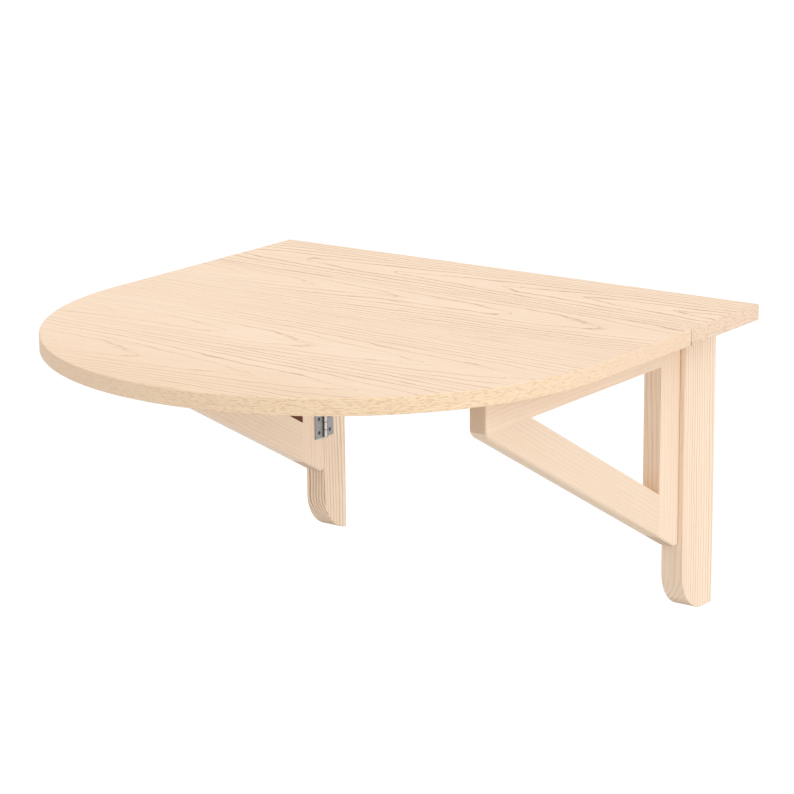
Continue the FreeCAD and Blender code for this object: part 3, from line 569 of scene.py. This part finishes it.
def steel(name, colour, rough, marks_along, barrel=None):
    """A dull plated metal. marks_along is the stretch of its rolling marks in millimetres, and barrel
    gives the masks of a smoother barrel with a highlight painted into its colour, and of painted shade and
    dark joints on and beside it."""
    finish = Finish(bpy.data.materials.new(name))
    place = straight_place(finish, ALONG_WALL, OUT_OF_WALL)
    marks = cloud(finish, place, marks_along, seed=7, detail=3, roughness=0.6)
    spots = rise(finish, cloud(finish, place, SPOT_SIZE, seed=19), 0.4, 0.7)
    spot_tone = tone(*[value * SPOT_SHADE for value in colour])
    shade = blend(finish, spots * 0.35, tone(*colour), spot_tone)
    roughness = rough + marks * 0.16
    if barrel:
        # On a barrel one mask lowers the roughness and paints a highlight, and the other paints shade and
        # darkens the joints.
        burnish_and_painted_highlight, dark = barrel(finish)
        shade = blend(finish, burnish_and_painted_highlight, shade, tone(*PAINTED_HIGHLIGHT_TONE))
        shade = blend(finish, dark, shade, tone(*PAINTED_SHADE_AND_JOINT_TONE))
        roughness = roughness - burnish_and_painted_highlight * (rough - BURNISHED_ROUGHNESS)
    relief = finish.node("ShaderNodeBump", {}, {"Strength": 0.4, "Distance": MARK_DEPTH, "Height": marks},
                         output="Normal")
    finish.dress({"Base Color": shade, "Roughness": roughness, "Normal": relief, "Metallic": 1.0})
    return finish.owner


# %% The joints of a gate hinge
lower_bottom, lower_top = [corner.z * MM_IN_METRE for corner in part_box("left_lower_hinge_post_leaf")]
upper_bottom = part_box("left_upper_hinge_post_leaf")[0].z * MM_IN_METRE
BETWEEN_HINGES = lower_top + 10
KNUCKLES = 5
KNUCKLE_PITCH = (lower_top - lower_bottom) / KNUCKLES
JOINT_LINE = (0.35, 0.9)


def knuckle_joints(finish):
    """1 on the dark lines where two knuckles meet."""
    height = millimetres(finish, "Z")
    bottom = choose(finish, height, [(lower_bottom, lower_bottom), (BETWEEN_HINGES, upper_bottom)])
    knuckles_up = (height - bottom) / KNUCKLE_PITCH + 0.5
    knuckle_share = finish.node("ShaderNodeMath", {"operation": "FRACT"}, {0: knuckles_up})
    off_joint = abs(knuckle_share - 0.5) * KNUCKLE_PITCH
    return 1 - rise(finish, off_joint, *JOINT_LINE)


print(f"the gate hinges have knuckles of {KNUCKLE_PITCH:.0f} mm")

# %% The barrels of the gate hinges
# Millimetres from the table's middle. The barrels reach in to 294.3, and the plates lie beyond 299.5.
BARREL_FADES = (298.0, 298.7)
# Between these distances, where a barrel meets its plates, shade is painted into the crease.
CREASE_SHADE_STARTS = (298.2, 298.8)
CREASE_SHADE_ENDS = (299.3, 299.5)


def gate_hinge_barrel(finish):
    """The smoother knuckles with a painted highlight, and the dark places on and beside them: painted
    shade in the crease at the plates and on the side turned to the wall, and the joints."""
    from_middle = abs(millimetres(finish, "X"))
    barrel = 1 - rise(finish, from_middle, *BARREL_FADES)
    towards_middle = abs(facing(finish, ALONG_WALL))
    # A painted highlight, full where the barrel looks along the wall and weaker where it looks out or back.
    burnish_and_painted_highlight = barrel * between(rise(finish, towards_middle, 0.1, 0.45), 0.3, 1)
    # Painted shade in the crease where the barrel meets the plates.
    dark = rise(finish, from_middle, *CREASE_SHADE_STARTS) * (1 - rise(finish, from_middle, *CREASE_SHADE_ENDS))
    towards_wall = facing(finish, -OUT_OF_WALL)
    # Painted shade on the barrel's half that is turned to the wall, reaching a little round its sides.
    painted_back_shade = barrel * rise(finish, towards_wall, -0.3, 0.0) * 0.8
    joints = barrel * knuckle_joints(finish) * 0.75
    for mask in (painted_back_shade, joints):
        dark = dark + mask * (1 - dark)
    return burnish_and_painted_highlight, dark


# %% Hinges and screws
upright_plate = steel("gate_hinge_zinc", (160, 159, 159), 0.4, (0.4, 0.4, 12), barrel=gate_hinge_barrel)
long_plate = steel("long_hinge_zinc", (160, 161, 165), 0.36, (12, 0.4, 0.4))
bright_steel = steel("pin_steel", (168, 168, 170), 0.26, (0.6, 0.6, 0.6))
screw_zinc = steel("screw_zinc", (88, 86, 87), 0.3, (0.8, 0.8, 0.8))
for name in parts:
    if name.endswith("_screws"):
        dress_part(name, screw_zinc)
    elif name.endswith("_pin"):
        dress_part(name, bright_steel)
    elif "_hinge_" in name:
        dress_part(name, long_plate if name.startswith("leaf_") else upright_plate)
print("steel on", sum(1 for name in parts if "hinge" in name), "parts")

# %% [markdown]
# ## The room
#
# The table hangs in an even white room over a pale floor. A broad lamp shines from the right, and a
# weak one from almost straight above. The white could come from stronger lamps, but they would
# bleach the wood. So the camera sees the floor and the sky as white, and so do the reflections in
# the steel, while everything else is lit by a softer sky, and a colour comes out about as it was
# written. A camera that is lower than the floor looks through it, at the table's underside.

# %% Who looks at a surface
def seen_directly(finish):
    """1 for a look by the camera, in a mirror or through glass, and 0 for light on its way."""
    camera_ray = finish.node("ShaderNodeLightPath", output="Is Camera Ray")
    glossy_ray = finish.node("ShaderNodeLightPath", output="Is Glossy Ray")
    glass_ray = finish.node("ShaderNodeLightPath", output="Is Transmission Ray")
    return larger(finish, larger(finish, camera_ray, glossy_ray), glass_ray)


# %% Sky
SKY_LIGHT = 0.65
room = bpy.data.worlds.new("white_room")
bpy.context.scene.world = room
sky = Finish(room)
background = sky.tree.nodes["Background"]
background.inputs["Color"].default_value = (1, 1, 1, 1)
sky.fill(background.inputs["Strength"], between(seen_directly(sky), SKY_LIGHT, 1))
print("the sky lights with", SKY_LIGHT, "and looks like 1")

# %% Floor
FLOOR_LEVEL = -0.75
FLOOR_REACH = 40.0
corners = [(x * FLOOR_REACH, y * FLOOR_REACH, FLOOR_LEVEL) for x, y in ((-1, -1), (1, -1), (1, 1), (-1, 1))]
floor_mesh = bpy.data.meshes.new("floor")
floor_mesh.from_pydata(corners, [], [(0, 1, 2, 3)])
floor = bpy.data.objects.new("floor", floor_mesh)
bpy.context.scene.collection.objects.link(floor)
print("the floor lies", -FLOOR_LEVEL, "m below the middle of the shelf")

# %% The floor's paint
# Light meets plain paint. A look meets a glow that is nearly white, over paint dark enough that the
# two make white in full light and still show a soft shadow.
PLAIN_PAINT = (0.8, 0.8, 0.8, 1)
DARK_PAINT = (0.3, 0.3, 0.3, 1)
GLOW = 0.76
paint = Finish(bpy.data.materials.new("floor_white"))
plain = paint.node("ShaderNodeBsdfDiffuse", {}, {"Color": PLAIN_PAINT})
shaded = paint.node("ShaderNodeBsdfDiffuse", {}, {"Color": DARK_PAINT})
glow = paint.node("ShaderNodeEmission", {}, {"Color": (1, 1, 1, 1), "Strength": GLOW})
white = paint.node("ShaderNodeAddShader", {}, {0: shaded, 1: glow})
top_side = paint.node("ShaderNodeMixShader", {}, {0: seen_directly(paint), 1: plain, 2: white})

camera_ray = paint.node("ShaderNodeLightPath", output="Is Camera Ray")
from_below = paint.node("ShaderNodeNewGeometry", output="Backfacing")
clear = paint.node("ShaderNodeBsdfTransparent")
both_sides = paint.node("ShaderNodeMixShader", {}, {0: camera_ray * from_below, 1: top_side, 2: clear})
paint.fill(paint.tree.nodes["Material Output"].inputs["Surface"], both_sides)
floor_mesh.materials.append(paint.owner)
print("the floor's paint has", len(paint.tree.nodes), "nodes")

# %% Lamps
# Each lamp shines from a direction, whose length is how much light it adds to a face turned to it. A
# sun of strength pi adds as much as a sky of strength 1.
LAMPS = {
    "right_lamp": Vector((0.46, 0.0, 0.15)),
    "overhead_lamp": Vector((-0.04, 0.0, 0.17)),
}
LAMP_BREADTH = math.radians(90)
for name, light_from in LAMPS.items():
    lamp = bpy.data.lights.new(name, "SUN")
    lamp.energy = math.pi * light_from.length
    lamp.angle = LAMP_BREADTH
    light = bpy.data.objects.new(name, lamp)
    light.rotation_mode = "QUATERNION"
    light.rotation_quaternion = light_from.to_track_quat("Z", "Y")
    bpy.context.scene.collection.objects.link(light)
    print(f"the {name} adds {light_from.z:.2f} on top and {abs(light_from.x):.2f} on its side")

# %% [markdown]
# ## The camera
#
# The view is from the front right and a little above, through a long lens from about four metres,
# which keeps the lines of the boards nearly parallel. The camera could be made to track a point, but
# then it couldn't lean, so its directions are worked out from its turn, its tilt and its roll.

# %% Camera
TURN = math.radians(35.841)
TILT = math.radians(14.489)
ROLL = math.radians(-0.4815)
CAMERA_PLACE = Vector((2.27824, -3.43583, 0.88976))
LENS = 133.83
SENSOR_WIDTH = 36.0

ahead = Vector((-math.sin(TURN) * math.cos(TILT), math.cos(TURN) * math.cos(TILT), -math.sin(TILT)))
level_aside = Vector((math.cos(TURN), math.sin(TURN), 0))
level_above = level_aside.cross(ahead)
aside = level_aside * math.cos(ROLL) + level_above * math.sin(ROLL)
above = level_above * math.cos(ROLL) - level_aside * math.sin(ROLL)
turned = Matrix((aside, above, -ahead)).transposed().to_4x4()

camera_data = bpy.data.cameras.new("camera")
camera_data.sensor_width = SENSOR_WIDTH
camera_data.lens = LENS
camera = bpy.data.objects.new("camera", camera_data)
bpy.context.scene.collection.objects.link(camera)
camera.matrix_world = Matrix.Translation(CAMERA_PLACE) @ turned
bpy.context.scene.camera = camera
bpy.context.scene.view_settings.view_transform = "Standard"
print(f"the camera stands {CAMERA_PLACE.length:.2f} m from the table")
